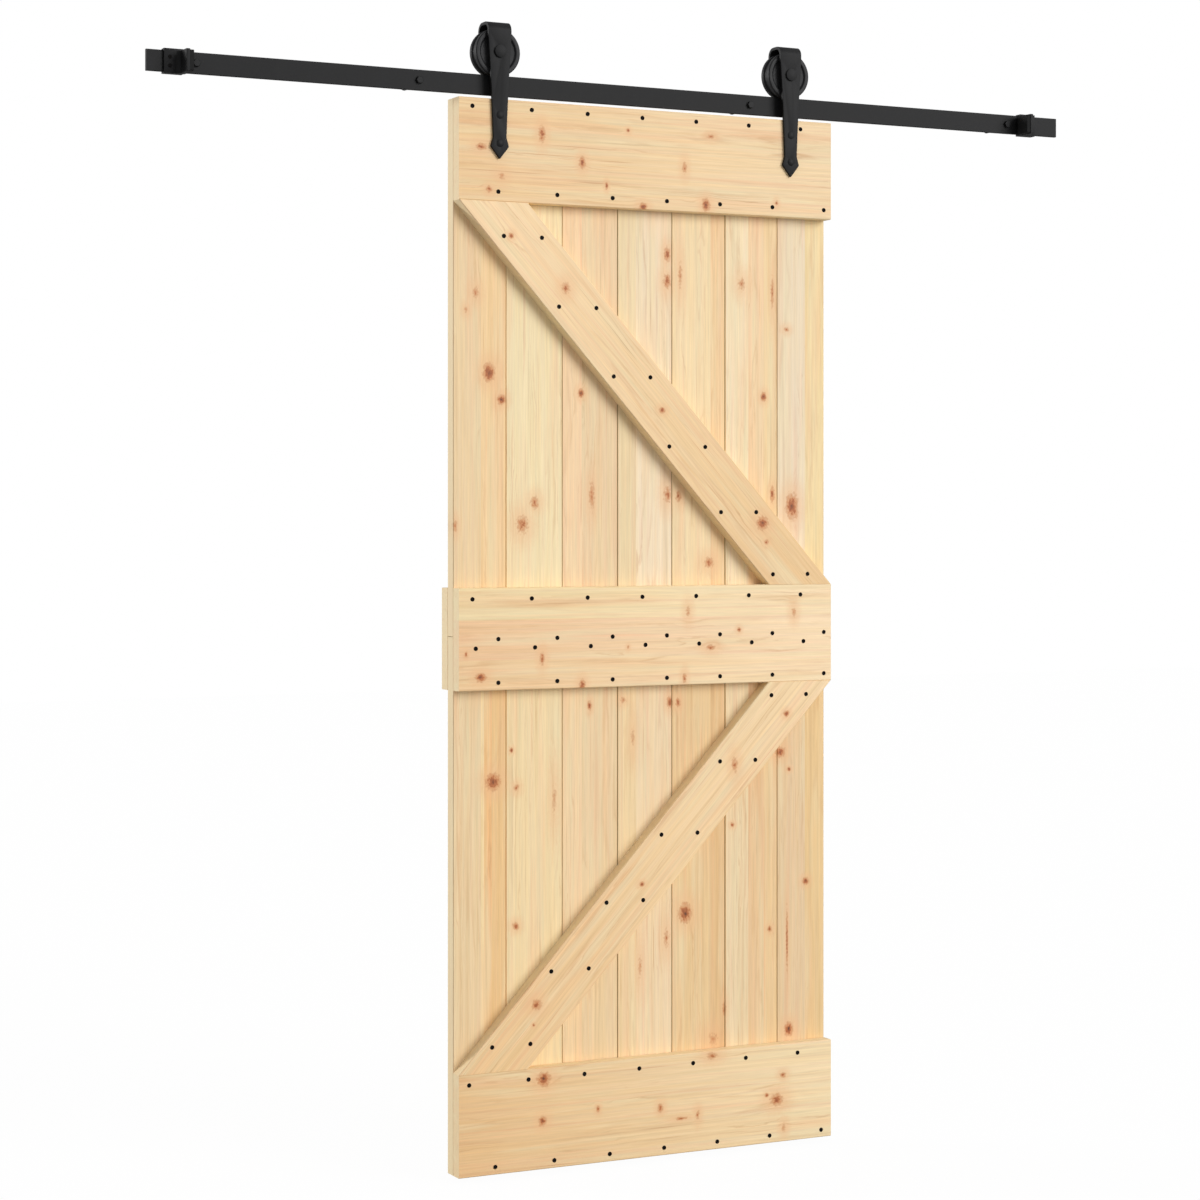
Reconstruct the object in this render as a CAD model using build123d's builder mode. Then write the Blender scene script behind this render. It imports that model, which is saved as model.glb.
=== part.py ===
from build123d import *
import os

# Sliding door of pine boards that hangs from a flat steel track on the wall.
# Millimetres. X runs along the track to the right, Y runs into the wall and Z is up.
# The origin is the centre of the wall face of the first track spacer, level with the track's centre line.

# Door leaf
door_width = 840
door_height = 2100
plank_thickness = 28
front_board_thickness = 28
back_board_thickness = 28
inner_planks = 5
edge_plank_width = 112.5
panel_gap = 1
plank_bevel = 1.6
tongue_length = 7
tongue_thickness = 8
tongue_slack = 1
tongue_side_clearance = 0.2
cross_rail_height = 200
middle_rail_bottom = 945
brace_cut = 148
board_ease = 1.5

# Track
track_length = 2040
track_height = 40
track_thickness = 8
track_ease = 0.8
left_bolt_inset = 96
right_bolt_inset = 129
middle_bolt_shares = (0.247, 0.651)
bolt_hole_clearance = 0.4
wall_gap = 10
door_to_track_gap = 8
door_to_first_bolt = 525

# Track fixings
spacer_radius = 10
spacer_ease = 1
bolt_radius = 4
bolt_head_across_flats = 13
bolt_head_height = 5.3
bolt_head_ease = 0.7

# Stoppers
stopper_width = 38
stopper_wall = 2.7
stopper_front_wall = 5
stopper_clearance = 0.3
stopper_reach = 44
stopper_flange_thickness = 7
stopper_flange_drop = 4
stopper_bend_radius = 9
stopper_ease = 0.8
left_stopper_inset = 32
right_stopper_inset = 60
bumper_thickness = 8
bumper_inset = 1.5
bumper_corner_radius = 2

# Wheels
wheel_width = 33
wheel_radius = 47.5
tread_radius = 44
groove_width = 10
groove_flare = 1.5
rolling_gap = 0.3
wheel_ease = 1.5
wheel_recess_depth = 3
wheel_recess_radius = 36
hub_radius = 12
axle_radius = 6
axle_running_gap = 0.05
hub_side_gap = 0.3

# Hangers
strap_thickness = 6
strap_bend_radius = 12
wheel_side_gap = 3
wheel_top_gap = 5.5
strap_top_width = 49
strap_middle_width = 34
strap_neck_width = 27.5
strap_neck_drop = 75.5
strap_head_width = 38
strap_head_drop = 93.4
strap_tip_drop = 117.4
back_leg_drop = 24
back_leg_corner_radius = 14
left_hanger_inset = 85
right_hanger_inset = 99
axle_hole_clearance = 0.2
axle_head_radius = 12
axle_head_height = 5
axle_head_rim = 3.6
axle_nut_across_flats = 19
axle_nut_height = 8
axle_end_length = 3
nut_thread_clearance = 0.05
hanger_bolt_radius = 4
hanger_bolt_hole_clearance = 0.3
hanger_bolt_head_radius = 7.5
hanger_bolt_head_height = 2.2
hanger_bolt_head_rim = 0.6
hanger_bolt_drops = (32, 87)
hanger_bolt_end_length = 2
hanger_nut_across_flats = 13
hanger_nut_height = 6.5

# Places worked out from the sizes above
door_left = door_to_first_bolt
door_right = door_left + door_width
door_top = -track_height / 2 - door_to_track_gap
door_bottom = door_top - door_height
back_board_y = -wall_gap - back_board_thickness
plank_y = back_board_y - plank_thickness
door_front_y = plank_y - front_board_thickness
middle_rail_z = door_bottom + middle_rail_bottom
panel_joint_z = door_bottom + door_height / 2

strap_inside = wheel_width + 2 * wheel_side_gap
wheel_y = door_front_y + strap_inside / 2
track_front_y = wheel_y - track_thickness / 2
track_back_y = wheel_y + track_thickness / 2
track_left = -left_bolt_inset
track_right = track_left + track_length
bolt_span = track_length - left_bolt_inset - right_bolt_inset
bolt_places = [0] + [share * bolt_span for share in middle_bolt_shares] + [bolt_span]

axle_z = track_height / 2 + tread_radius + rolling_gap
strap_inner_top = axle_z + wheel_radius + wheel_top_gap
shoulder_z = strap_inner_top - strap_inside / 2
strap_front_y = door_front_y - strap_thickness
strap_back_y = door_front_y + strap_inside + strap_thickness
hanger_places = {"left": door_left + left_hanger_inset, "right": door_right - right_hanger_inset}
hanger_bolt_heights = [door_top - drop for drop in hanger_bolt_drops]
hanger_bolt_points = [(place, height) for place in hanger_places.values() for height in hanger_bolt_heights]
hanger_bolt_length = back_board_y - strap_front_y + hanger_nut_height + hanger_bolt_end_length

os.makedirs("parts", exist_ok=True)

# Planks: tongued and grooved, stacked in two panels that meet behind the middle rail.
inner_plank_width = (door_width - 2 * edge_plank_width) / inner_planks
plank_widths = [edge_plank_width] + [inner_plank_width] * inner_planks + [edge_plank_width]
groove_depth = tongue_length + tongue_slack
plank_groove_width = tongue_thickness + 2 * tongue_side_clearance
panels = {
    "upper": (panel_joint_z + panel_gap / 2, door_top),
    "lower": (door_bottom, panel_joint_z - panel_gap / 2),
}
for panel, (panel_bottom, panel_top) in panels.items():
    for number, width in enumerate(plank_widths, start=1):
        plank_left = door_left + sum(plank_widths[: number - 1])
        with BuildPart() as plank:
            with BuildSketch(Plane((plank_left, plank_y, panel_bottom))):
                Rectangle(width, plank_thickness, align=(Align.MIN, Align.MIN))
                chamfer(vertices(), length=plank_bevel)
                if number < len(plank_widths):
                    with Locations((width, plank_thickness / 2)):
                        Rectangle(tongue_length, tongue_thickness, align=(Align.MIN, Align.CENTER))
                if number > 1:
                    with Locations((0, plank_thickness / 2)):
                        Rectangle(
                            groove_depth,
                            plank_groove_width,
                            align=(Align.MIN, Align.CENTER),
                            mode=Mode.SUBTRACT,
                        )
            extrude(amount=panel_top - panel_bottom)
            with BuildSketch(Plane.XZ.offset(-plank_y)):
                with Locations(hanger_bolt_points):
                    Circle(hanger_bolt_radius + hanger_bolt_hole_clearance)
            extrude(amount=-plank_thickness, mode=Mode.SUBTRACT)
        plank.part.label = f"{panel}_plank_{number}"
        export_step(plank.part, f"parts/{plank.part.label}.step")

# Cross rails: boards laid across the planks, three in front and one behind the middle.
cross_rails = {
    "top_rail": (door_front_y, front_board_thickness, door_top - cross_rail_height),
    "middle_rail": (door_front_y, front_board_thickness, middle_rail_z),
    "bottom_rail": (door_front_y, front_board_thickness, door_bottom),
    "back_board": (back_board_y, back_board_thickness, middle_rail_z),
}
for label, (rail_y, rail_thickness, rail_bottom) in cross_rails.items():
    with BuildPart() as cross_rail:
        with BuildSketch(Plane((door_left, rail_y, rail_bottom))):
            Rectangle(door_width, rail_thickness, align=(Align.MIN, Align.MIN))
        extrude(amount=cross_rail_height)
        chamfer(cross_rail.edges().filter_by(Axis.X), length=board_ease)
        with BuildSketch(Plane.XZ.offset(-rail_y)):
            with Locations(hanger_bolt_points):
                Circle(hanger_bolt_radius + hanger_bolt_hole_clearance)
        extrude(amount=-rail_thickness, mode=Mode.SUBTRACT)
    cross_rail.part.label = label
    export_step(cross_rail.part, f"parts/{label}.step")

# Braces: slanted boards in front of the planks, cut level where they meet the cross rails.
brace_spans = {
    "upper_brace": (middle_rail_z + cross_rail_height, door_top - cross_rail_height, False),
    "lower_brace": (door_bottom + cross_rail_height, middle_rail_z, True),
}
for label, (brace_bottom, brace_top, rises_right) in brace_spans.items():
    foot_left = door_left if rises_right else door_right - brace_cut
    head_left = door_right - brace_cut if rises_right else door_left
    with BuildPart() as brace:
        with BuildSketch(Plane.XZ.offset(-door_front_y)):
            with BuildLine():
                Polyline(
                    (foot_left, brace_bottom),
                    (foot_left + brace_cut, brace_bottom),
                    (head_left + brace_cut, brace_top),
                    (head_left, brace_top),
                    close=True,
                )
            make_face()
        extrude(amount=-front_board_thickness)
        front_edges = brace.faces().sort_by(Axis.Y)[0].edges()
        chamfer(front_edges.filter_by(lambda edge: abs(edge.tangent_at(0).Z) > 0.1), length=board_ease)
    brace.part.label = label
    export_step(brace.part, f"parts/{label}.step")

# Track: a flat steel bar on edge, drilled for its wall bolts.
with BuildPart() as track:
    with BuildSketch(Plane.XZ.offset(-track_front_y)):
        with Locations((track_left, 0)):
            Rectangle(track_length, track_height, align=(Align.MIN, Align.CENTER))
        with Locations([(place, 0) for place in bolt_places]):
            Circle(bolt_radius + bolt_hole_clearance, mode=Mode.SUBTRACT)
    extrude(amount=-track_thickness)
    long_edges = track.edges().filter_by(Axis.X)
    chamfer(long_edges, length=track_ease)
track.part.label = "track"
export_step(track.part, "parts/track.step")

# Wall fixings: a tube spacer behind the track and a hexagon bolt through both.
for number, place in enumerate(bolt_places, start=1):
    with BuildPart() as spacer:
        with BuildSketch(Plane((place, track_back_y, 0), x_dir=(1, 0, 0), z_dir=(0, 1, 0))):
            Circle(spacer_radius)
            Circle(bolt_radius + bolt_hole_clearance, mode=Mode.SUBTRACT)
        extrude(amount=-track_back_y)
        rims = spacer.edges().filter_by(GeomType.CIRCLE).group_by(SortBy.RADIUS)[-1]
        chamfer(rims, length=spacer_ease)
    spacer.part.label = f"spacer_{number}"
    export_step(spacer.part, f"parts/{spacer.part.label}.step")

    with BuildPart() as bolt:
        with BuildSketch(Plane((place, track_front_y, 0), x_dir=(1, 0, 0), z_dir=(0, -1, 0))):
            RegularPolygon(bolt_head_across_flats / 2, 6, major_radius=False)
        extrude(amount=bolt_head_height)
        chamfer(bolt.faces().sort_by(Axis.Y)[0].edges(), length=bolt_head_ease)
        with BuildSketch(Plane((place, track_front_y, 0), x_dir=(1, 0, 0), z_dir=(0, 1, 0))):
            Circle(bolt_radius)
        extrude(amount=-track_front_y)
    bolt.part.label = f"track_bolt_{number}"
    export_step(bolt.part, f"parts/{bolt.part.label}.step")

# Stoppers: a sleeve slipped over the track whose front wall turns forward into a flange that is cut
# down at the top, with a rubber bumper over the flange's face towards the door.
sleeve_front_y = track_front_y - stopper_clearance - stopper_front_wall
sleeve_depth = track_thickness + 2 * stopper_clearance + stopper_front_wall + stopper_wall
sleeve_height = track_height + 2 * stopper_clearance + 2 * stopper_wall
flange_front_y = sleeve_front_y + stopper_front_wall - stopper_reach
flange_depth = sleeve_front_y - flange_front_y
stoppers = {
    "left": (track_left + left_stopper_inset, 1),
    "right": (track_right - right_stopper_inset, -1),
}
for side, (outer_end, inward) in stoppers.items():
    inner_end = outer_end + inward * stopper_width
    flange_outer = inner_end - inward * stopper_flange_thickness
    bend_start = flange_outer - inward * stopper_bend_radius
    with BuildPart() as stopper:
        with BuildSketch(Plane.XY.offset(-sleeve_height / 2)):
            with BuildLine():
                Polyline(
                    (bend_start, sleeve_front_y),
                    (outer_end, sleeve_front_y),
                    (outer_end, sleeve_front_y + sleeve_depth),
                    (inner_end, sleeve_front_y + sleeve_depth),
                    (inner_end, flange_front_y),
                    (flange_outer, flange_front_y),
                    (flange_outer, sleeve_front_y - stopper_bend_radius),
                )
                RadiusArc(
                    (flange_outer, sleeve_front_y - stopper_bend_radius),
                    (bend_start, sleeve_front_y),
                    -inward * stopper_bend_radius,
                )
            make_face()
        extrude(amount=sleeve_height)
        with BuildSketch(Plane.YZ.offset(min(outer_end, inner_end))):
            with Locations((wheel_y, 0)):
                Rectangle(track_thickness + 2 * stopper_clearance, track_height + 2 * stopper_clearance)
        extrude(amount=stopper_width, mode=Mode.SUBTRACT)
        with BuildSketch(Plane.XZ.offset(-flange_front_y)):
            with Locations(((bend_start + inner_end) / 2, sleeve_height / 2)):
                Rectangle(
                    abs(inner_end - bend_start),
                    stopper_flange_drop,
                    align=(Align.CENTER, Align.MAX),
                )
        extrude(amount=-flange_depth, mode=Mode.SUBTRACT)
        flange_tip = stopper.faces().sort_by(Axis.Y)[0].edges()
        chamfer(flange_tip, length=stopper_ease)
    stopper.part.label = f"stopper_{side}"
    export_step(stopper.part, f"parts/{stopper.part.label}.step")

    bumper_centre = (inner_end, flange_front_y + flange_depth / 2, -stopper_flange_drop / 2)
    with BuildPart() as bumper:
        with BuildSketch(Plane(bumper_centre, x_dir=(0, 1, 0), z_dir=(inward, 0, 0))):
            RectangleRounded(
                flange_depth - 2 * bumper_inset,
                sleeve_height - stopper_flange_drop - 2 * bumper_inset,
                bumper_corner_radius,
            )
        extrude(amount=bumper_thickness)
        fillet(bumper.faces().sort_by(Axis.X)[-1 if inward > 0 else 0].edges(), radius=stopper_ease)
    bumper.part.label = f"bumper_{side}"
    export_step(bumper.part, f"parts/{bumper.part.label}.step")

# Hangers: a flat strap bent over the wheel, with a short leg behind it and a long tapered
# leg in front that ends in a spear point bolted to the top rail.
back_leg_end = axle_z - back_leg_drop
strap_tip_z = door_top - strap_tip_drop
bend_top = strap_inner_top + strap_thickness
for side, place in hanger_places.items():
    with BuildPart() as hanger:
        with BuildSketch(Plane.YZ.offset(place - strap_top_width / 2)):
            with BuildLine():
                outside = FilletPolyline(
                    (strap_front_y, strap_tip_z),
                    (strap_front_y, bend_top),
                    (strap_back_y, bend_top),
                    (strap_back_y, back_leg_end),
                    radius=strap_bend_radius + strap_thickness,
                )
                inside = FilletPolyline(
                    (strap_back_y - strap_thickness, back_leg_end),
                    (strap_back_y - strap_thickness, strap_inner_top),
                    (door_front_y, strap_inner_top),
                    (door_front_y, strap_tip_z),
                    radius=strap_bend_radius,
                )
                Line(outside @ 1, inside @ 0)
                Line(inside @ 1, outside @ 0)
            make_face()
        extrude(amount=strap_top_width)
        with BuildSketch(Plane.XZ.offset(-strap_front_y)):
            with BuildLine():
                Polyline(
                    (place - strap_top_width / 2, shoulder_z),
                    (place - strap_top_width / 2, bend_top),
                    (place + strap_top_width / 2, bend_top),
                    (place + strap_top_width / 2, shoulder_z),
                )
                ThreePointArc(
                    (place + strap_top_width / 2, shoulder_z),
                    (place + strap_middle_width / 2, door_top),
                    (place + strap_neck_width / 2, door_top - strap_neck_drop),
                )
                Polyline(
                    (place + strap_neck_width / 2, door_top - strap_neck_drop),
                    (place + strap_head_width / 2, door_top - strap_head_drop),
                    (place, strap_tip_z),
                    (place - strap_head_width / 2, door_top - strap_head_drop),
                    (place - strap_neck_width / 2, door_top - strap_neck_drop),
                )
                ThreePointArc(
                    (place - strap_neck_width / 2, door_top - strap_neck_drop),
                    (place - strap_middle_width / 2, door_top),
                    (place - strap_top_width / 2, shoulder_z),
                )
            make_face()
        extrude(amount=-(strap_back_y - strap_front_y), mode=Mode.INTERSECT)
        back_leg_corners = hanger.edges().filter_by(Axis.Y).filter_by(
            lambda edge: edge.center().Y > wheel_y and abs(edge.center().Z - back_leg_end) < 0.1
        )
        fillet(back_leg_corners, radius=back_leg_corner_radius)
        with BuildSketch(Plane.XZ.offset(-strap_front_y)):
            with Locations((place, axle_z)):
                Circle(axle_radius + axle_hole_clearance)
        extrude(amount=-(strap_back_y - strap_front_y), mode=Mode.SUBTRACT)
        with BuildSketch(Plane.XZ.offset(-strap_front_y)):
            with Locations([(place, height) for height in hanger_bolt_heights]):
                Circle(hanger_bolt_radius + hanger_bolt_hole_clearance)
        extrude(amount=-strap_thickness, mode=Mode.SUBTRACT)
    hanger.part.label = f"hanger_{side}"
    export_step(hanger.part, f"parts/{hanger.part.label}.step")

    # Axle: a domed bolt through both legs of the strap, with its nut behind.
    axle_origin = (place, 0, axle_z)
    head_front_y = strap_front_y - axle_head_height
    with BuildPart() as axle:
        with BuildSketch(Plane(axle_origin)):
            with BuildLine():
                Polyline(
                    (0, head_front_y),
                    (0, strap_back_y + axle_nut_height + axle_end_length),
                    (axle_radius, strap_back_y + axle_nut_height + axle_end_length),
                    (axle_radius, strap_front_y),
                    (axle_head_radius, strap_front_y),
                    (axle_head_radius, strap_front_y - axle_head_rim),
                )
                TangentArc(
                    (0, head_front_y),
                    (axle_head_radius, strap_front_y - axle_head_rim),
                    tangent=(1, 0),
                )
            make_face()
        revolve(axis=Axis(axle_origin, (0, 1, 0)))
    axle.part.label = f"axle_{side}"
    export_step(axle.part, f"parts/{axle.part.label}.step")

    with BuildPart() as nut:
        with BuildSketch(Plane((place, strap_back_y, axle_z), x_dir=(1, 0, 0), z_dir=(0, 1, 0))):
            RegularPolygon(axle_nut_across_flats / 2, 6, major_radius=False)
            Circle(axle_radius + nut_thread_clearance, mode=Mode.SUBTRACT)
        extrude(amount=axle_nut_height)
    nut.part.label = f"axle_nut_{side}"
    export_step(nut.part, f"parts/{nut.part.label}.step")

    # Hanger bolts: domed heads on the strap, shanks through the top rail and the planks, nuts behind.
    with BuildPart() as hanger_bolts:
        for bolt_z in hanger_bolt_heights:
            bolt_origin = (place, strap_front_y, bolt_z)
            with BuildSketch(Plane(bolt_origin)):
                with BuildLine():
                    Polyline(
                        (0, -hanger_bolt_head_height),
                        (0, hanger_bolt_length),
                        (hanger_bolt_radius, hanger_bolt_length),
                        (hanger_bolt_radius, 0),
                        (hanger_bolt_head_radius, 0),
                        (hanger_bolt_head_radius, -hanger_bolt_head_rim),
                    )
                    TangentArc(
                        (0, -hanger_bolt_head_height),
                        (hanger_bolt_head_radius, -hanger_bolt_head_rim),
                        tangent=(1, 0),
                    )
                make_face()
            revolve(axis=Axis(bolt_origin, (0, 1, 0)))
            with BuildSketch(Plane((place, back_board_y, bolt_z), x_dir=(1, 0, 0), z_dir=(0, 1, 0))):
                RegularPolygon(hanger_nut_across_flats / 2, 6, major_radius=False)
            extrude(amount=hanger_nut_height)
    hanger_bolts.part.label = f"hanger_bolts_{side}"
    export_step(hanger_bolts.part, f"parts/{hanger_bolts.part.label}.step")

    # Wheel: a grooved roller whose tread runs on the track's top edge between two flanges.
    half_width = wheel_width / 2
    hub_half_length = strap_inside / 2 - hub_side_gap
    with BuildPart() as wheel:
        with BuildSketch(Plane((place, wheel_y, axle_z))):
            with BuildLine():
                Polyline(
                    (axle_radius + axle_running_gap, -hub_half_length),
                    (hub_radius, -hub_half_length),
                    (hub_radius, -half_width + wheel_recess_depth),
                    (wheel_recess_radius, -half_width + wheel_recess_depth),
                    (wheel_recess_radius + wheel_recess_depth, -half_width),
                    (wheel_radius - wheel_ease, -half_width),
                    (wheel_radius, -half_width + wheel_ease),
                    (wheel_radius, -groove_width / 2 - groove_flare),
                    (tread_radius, -groove_width / 2),
                    (tread_radius, 0),
                    (axle_radius + axle_running_gap, 0),
                    close=True,
                )
            make_face()
        revolve(axis=Axis((place, wheel_y, axle_z), (0, 1, 0)))
        mirror(about=Plane.XZ.offset(-wheel_y))
    wheel.part.label = f"wheel_{side}"
    export_step(wheel.part, f"parts/{wheel.part.label}.step")
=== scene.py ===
import bmesh
import bpy
import math
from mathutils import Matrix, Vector


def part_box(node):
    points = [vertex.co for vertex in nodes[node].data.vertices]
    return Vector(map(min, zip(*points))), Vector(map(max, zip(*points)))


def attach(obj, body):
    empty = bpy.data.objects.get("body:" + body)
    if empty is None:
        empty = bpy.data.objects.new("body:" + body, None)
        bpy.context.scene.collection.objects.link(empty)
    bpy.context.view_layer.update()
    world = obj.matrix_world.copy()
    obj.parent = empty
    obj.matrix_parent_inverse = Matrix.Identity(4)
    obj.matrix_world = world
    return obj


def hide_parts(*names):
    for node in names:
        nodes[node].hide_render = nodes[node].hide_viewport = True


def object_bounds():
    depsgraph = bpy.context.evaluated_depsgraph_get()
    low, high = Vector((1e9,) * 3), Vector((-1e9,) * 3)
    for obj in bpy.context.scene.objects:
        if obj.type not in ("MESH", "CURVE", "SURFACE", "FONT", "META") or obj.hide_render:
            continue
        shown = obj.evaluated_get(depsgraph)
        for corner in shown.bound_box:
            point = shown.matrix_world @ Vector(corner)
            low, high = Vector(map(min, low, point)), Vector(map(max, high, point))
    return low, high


# A sliding door of pine boards that hangs from a flat black steel track. Everything is in metres,
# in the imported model's frame: X along the track to the right, Y into the wall and Z up, with the
# origin on the wall at the first track spacer.
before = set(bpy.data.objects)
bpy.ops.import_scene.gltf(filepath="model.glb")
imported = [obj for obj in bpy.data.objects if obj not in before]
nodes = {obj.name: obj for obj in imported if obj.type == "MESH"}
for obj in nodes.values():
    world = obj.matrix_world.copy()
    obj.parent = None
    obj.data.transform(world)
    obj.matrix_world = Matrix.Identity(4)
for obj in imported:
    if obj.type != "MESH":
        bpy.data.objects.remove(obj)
cad_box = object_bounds()

# Camera: a long lens held level, to the left of the door and a little above its middle. The
# picture is shifted down, so that the track and the foot of the door both fit.
camera_data = bpy.data.cameras.new("camera")
camera_data.sensor_width = 36
camera_data.lens = 83.06
camera_data.shift_y = -0.0706
camera = bpy.data.objects.new("camera", camera_data)
camera.location = (-1.618, -5.024, -0.841)
camera.rotation_euler = (math.radians(90), 0, math.radians(-26.41))
bpy.context.scene.collection.objects.link(camera)
bpy.context.scene.camera = camera
bpy.context.scene.view_settings.view_transform = "Standard"


def linear(hex_colour):
    """An sRGB hex colour as the linear values that a socket takes."""
    channels = [int(hex_colour[place:place + 2], 16) / 255 for place in (1, 3, 5)]
    return tuple(c / 12.92 if c <= 0.04045 else ((c + 0.055) / 1.055) ** 2.4 for c in channels) + (1.0,)


def add(tree, kind, inputs=None, **settings):
    """A new node with its settings. An input is a value, or a node or a socket to link to."""
    node = tree.nodes.new(kind)
    for name, value in settings.items():
        setattr(node, name, value)
    for socket, value in (inputs or {}).items():
        if isinstance(value, bpy.types.Node):
            value = value.outputs[0]
        if isinstance(value, bpy.types.NodeSocket):
            tree.links.new(value, node.inputs[socket])
        else:
            node.inputs[socket].default_value = value
    return node


# Studio: a pale matt floor just under the door and an even white surround. The large key lamp
# stands in front, to the right and a little above, so that each board shades what is left of it
# and below it. A faint lamp hangs over the door, and one behind it lights the boards' left ends.
pure_white = (1, 1, 1, 1)
surround_strength = 0.50
world = bpy.data.worlds.new("studio")
world.use_nodes = True
world_tree = world.node_tree
world_tree.nodes.clear()
rays = add(world_tree, "ShaderNodeLightPath").outputs
seen = add(world_tree, "ShaderNodeMath",
           {0: rays["Is Camera Ray"], 1: rays["Is Transmission Ray"]}, operation="MAXIMUM")
surround = add(world_tree, "ShaderNodeBackground", {"Color": pure_white, "Strength": surround_strength})
white = add(world_tree, "ShaderNodeBackground", {"Color": pure_white, "Strength": 1.0})
shown = add(world_tree, "ShaderNodeMixShader", {0: seen, 1: surround, 2: white})
add(world_tree, "ShaderNodeOutputWorld", {"Surface": shown})
bpy.context.scene.world = world

lamps = {
    "key": {"strength": 2.24, "spread": 38, "from": (0.65, -1.0, 0.36)},
    "top": {"strength": 0.1, "spread": 16, "from": (0.55, -0.10, 1.0)},
    "side": {"strength": 1.70, "spread": 20, "from": (-1.0, 0.80, 0.24)},
}
for name, lamp in lamps.items():
    sun = bpy.data.lights.new(name, "SUN")
    sun.energy = lamp["strength"]
    sun.angle = math.radians(lamp["spread"])
    sun_object = bpy.data.objects.new(name, sun)
    sun_object.rotation_euler = Vector(lamp["from"]).to_track_quat("Z", "Y").to_euler()
    bpy.context.scene.collection.objects.link(sun_object)

floor_gap = 0.012
floor_reach = 14
floor_grey = "#B0B0B0"
floor_paleness = 0.92
floor_glow = 1.05
floor_z = cad_box[0].z - floor_gap
floor_mesh = bpy.data.meshes.new("floor")
floor_corners = [(-floor_reach, -floor_reach, floor_z), (floor_reach, -floor_reach, floor_z),
                 (floor_reach, floor_reach, floor_z), (-floor_reach, floor_reach, floor_z)]
floor_mesh.from_pydata(floor_corners, [], [(0, 1, 2, 3)])
floor = bpy.data.objects.new("floor", floor_mesh)
bpy.context.scene.collection.objects.link(floor)
floor_paint = bpy.data.materials.new("pale studio floor")
floor_paint.use_nodes = True
floor_tree = floor_paint.node_tree
floor_tree.nodes.clear()
rays = add(floor_tree, "ShaderNodeLightPath").outputs
lit = add(floor_tree, "ShaderNodeBsdfDiffuse", {"Color": linear(floor_grey)})
plain = add(floor_tree, "ShaderNodeEmission", {"Color": pure_white, "Strength": floor_glow})
paleness = add(floor_tree, "ShaderNodeMath",
               {0: rays["Is Camera Ray"], 1: floor_paleness}, operation="MULTIPLY")
mixed = add(floor_tree, "ShaderNodeMixShader", {0: paleness, 1: lit, 2: plain})
add(floor_tree, "ShaderNodeOutputMaterial", {"Surface": mixed})
floor_mesh.materials.append(floor_paint)

# Track: a hot rolled steel bar stood on edge, with its long edges broken, powder coated matt
# black. The coat gives the eye an even dark grey with a very fine orange peel.
mm = 0.001
coat_grain = 1.4 * mm
coat_relief = 0.05 * mm
clouds_per_metre = 30.0
gloss_drift = 0.05
dust = "#2A2A2B"
dust_share = 0.35


def black_coat(name, colour, roughness, relief, shine):
    """A black skin on steel or rubber: fine grain, faint clouds in its colour, uneven gloss."""
    material = bpy.data.materials.new(name)
    material.use_nodes = True
    tree = material.node_tree
    tree.nodes.clear()
    place = add(tree, "ShaderNodeTexCoord").outputs["Object"]
    grain = add(tree, "ShaderNodeTexNoise", {"Vector": place, "Scale": 1 / coat_grain, "Detail": 3.0})
    clouds = add(tree, "ShaderNodeTexNoise", {"Vector": place, "Scale": clouds_per_metre, "Detail": 4.0})
    gloss = add(tree, "ShaderNodeMapRange",
                {0: clouds, 3: roughness - gloss_drift, 4: roughness + gloss_drift})
    dusty = add(tree, "ShaderNodeMapRange", {0: clouds, 1: 0.35, 2: 0.75, 3: 0.0, 4: dust_share})
    tint = add(tree, "ShaderNodeMix", {0: dusty, 6: linear(colour), 7: linear(dust)}, data_type="RGBA")
    bump = add(tree, "ShaderNodeBump", {"Height": grain, "Strength": relief, "Distance": coat_relief})
    surface = add(tree, "ShaderNodeBsdfPrincipled",
                  {"Base Color": tint.outputs[2], "Roughness": gloss, "Normal": bump,
                   "Specular IOR Level": shine})
    add(tree, "ShaderNodeOutputMaterial", {"Surface": surface})
    return material


def finish_nodes(names, material):
    """Gives CAD nodes their material."""
    for name in names:
        for material_slot in nodes[name].material_slots:
            material_slot.material = material


powder_coat = black_coat("matt black powder coat", "#131314", roughness=0.54, relief=0.30, shine=0.175)
finish_nodes(["track"], powder_coat)

# Track fixings: turned steel spacers behind the bar, coated as it is, and hexagon bolts through
# them in black oxide, which looks a little darker and glossier than the powder coat.
black_oxide = black_coat("black oxide on steel", "#121213", roughness=0.50, relief=0.10, shine=0.175)
finish_nodes([f"spacer_{number}" for number in range(1, 5)], powder_coat)
finish_nodes([name for name in nodes if name.startswith("track_bolt")], black_oxide)

# Stoppers: bent steel sleeves, each clamped on the bar by two socket set screws in its front
# wall. The corners are rounded by the bending and by the coat.
stopper_edge = 0.9 * mm
joined_within = 0.01 * mm
flat_angle = math.radians(0.6)
rounded_angle = math.radians(32)
crisp_angle = math.radians(34)


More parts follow.
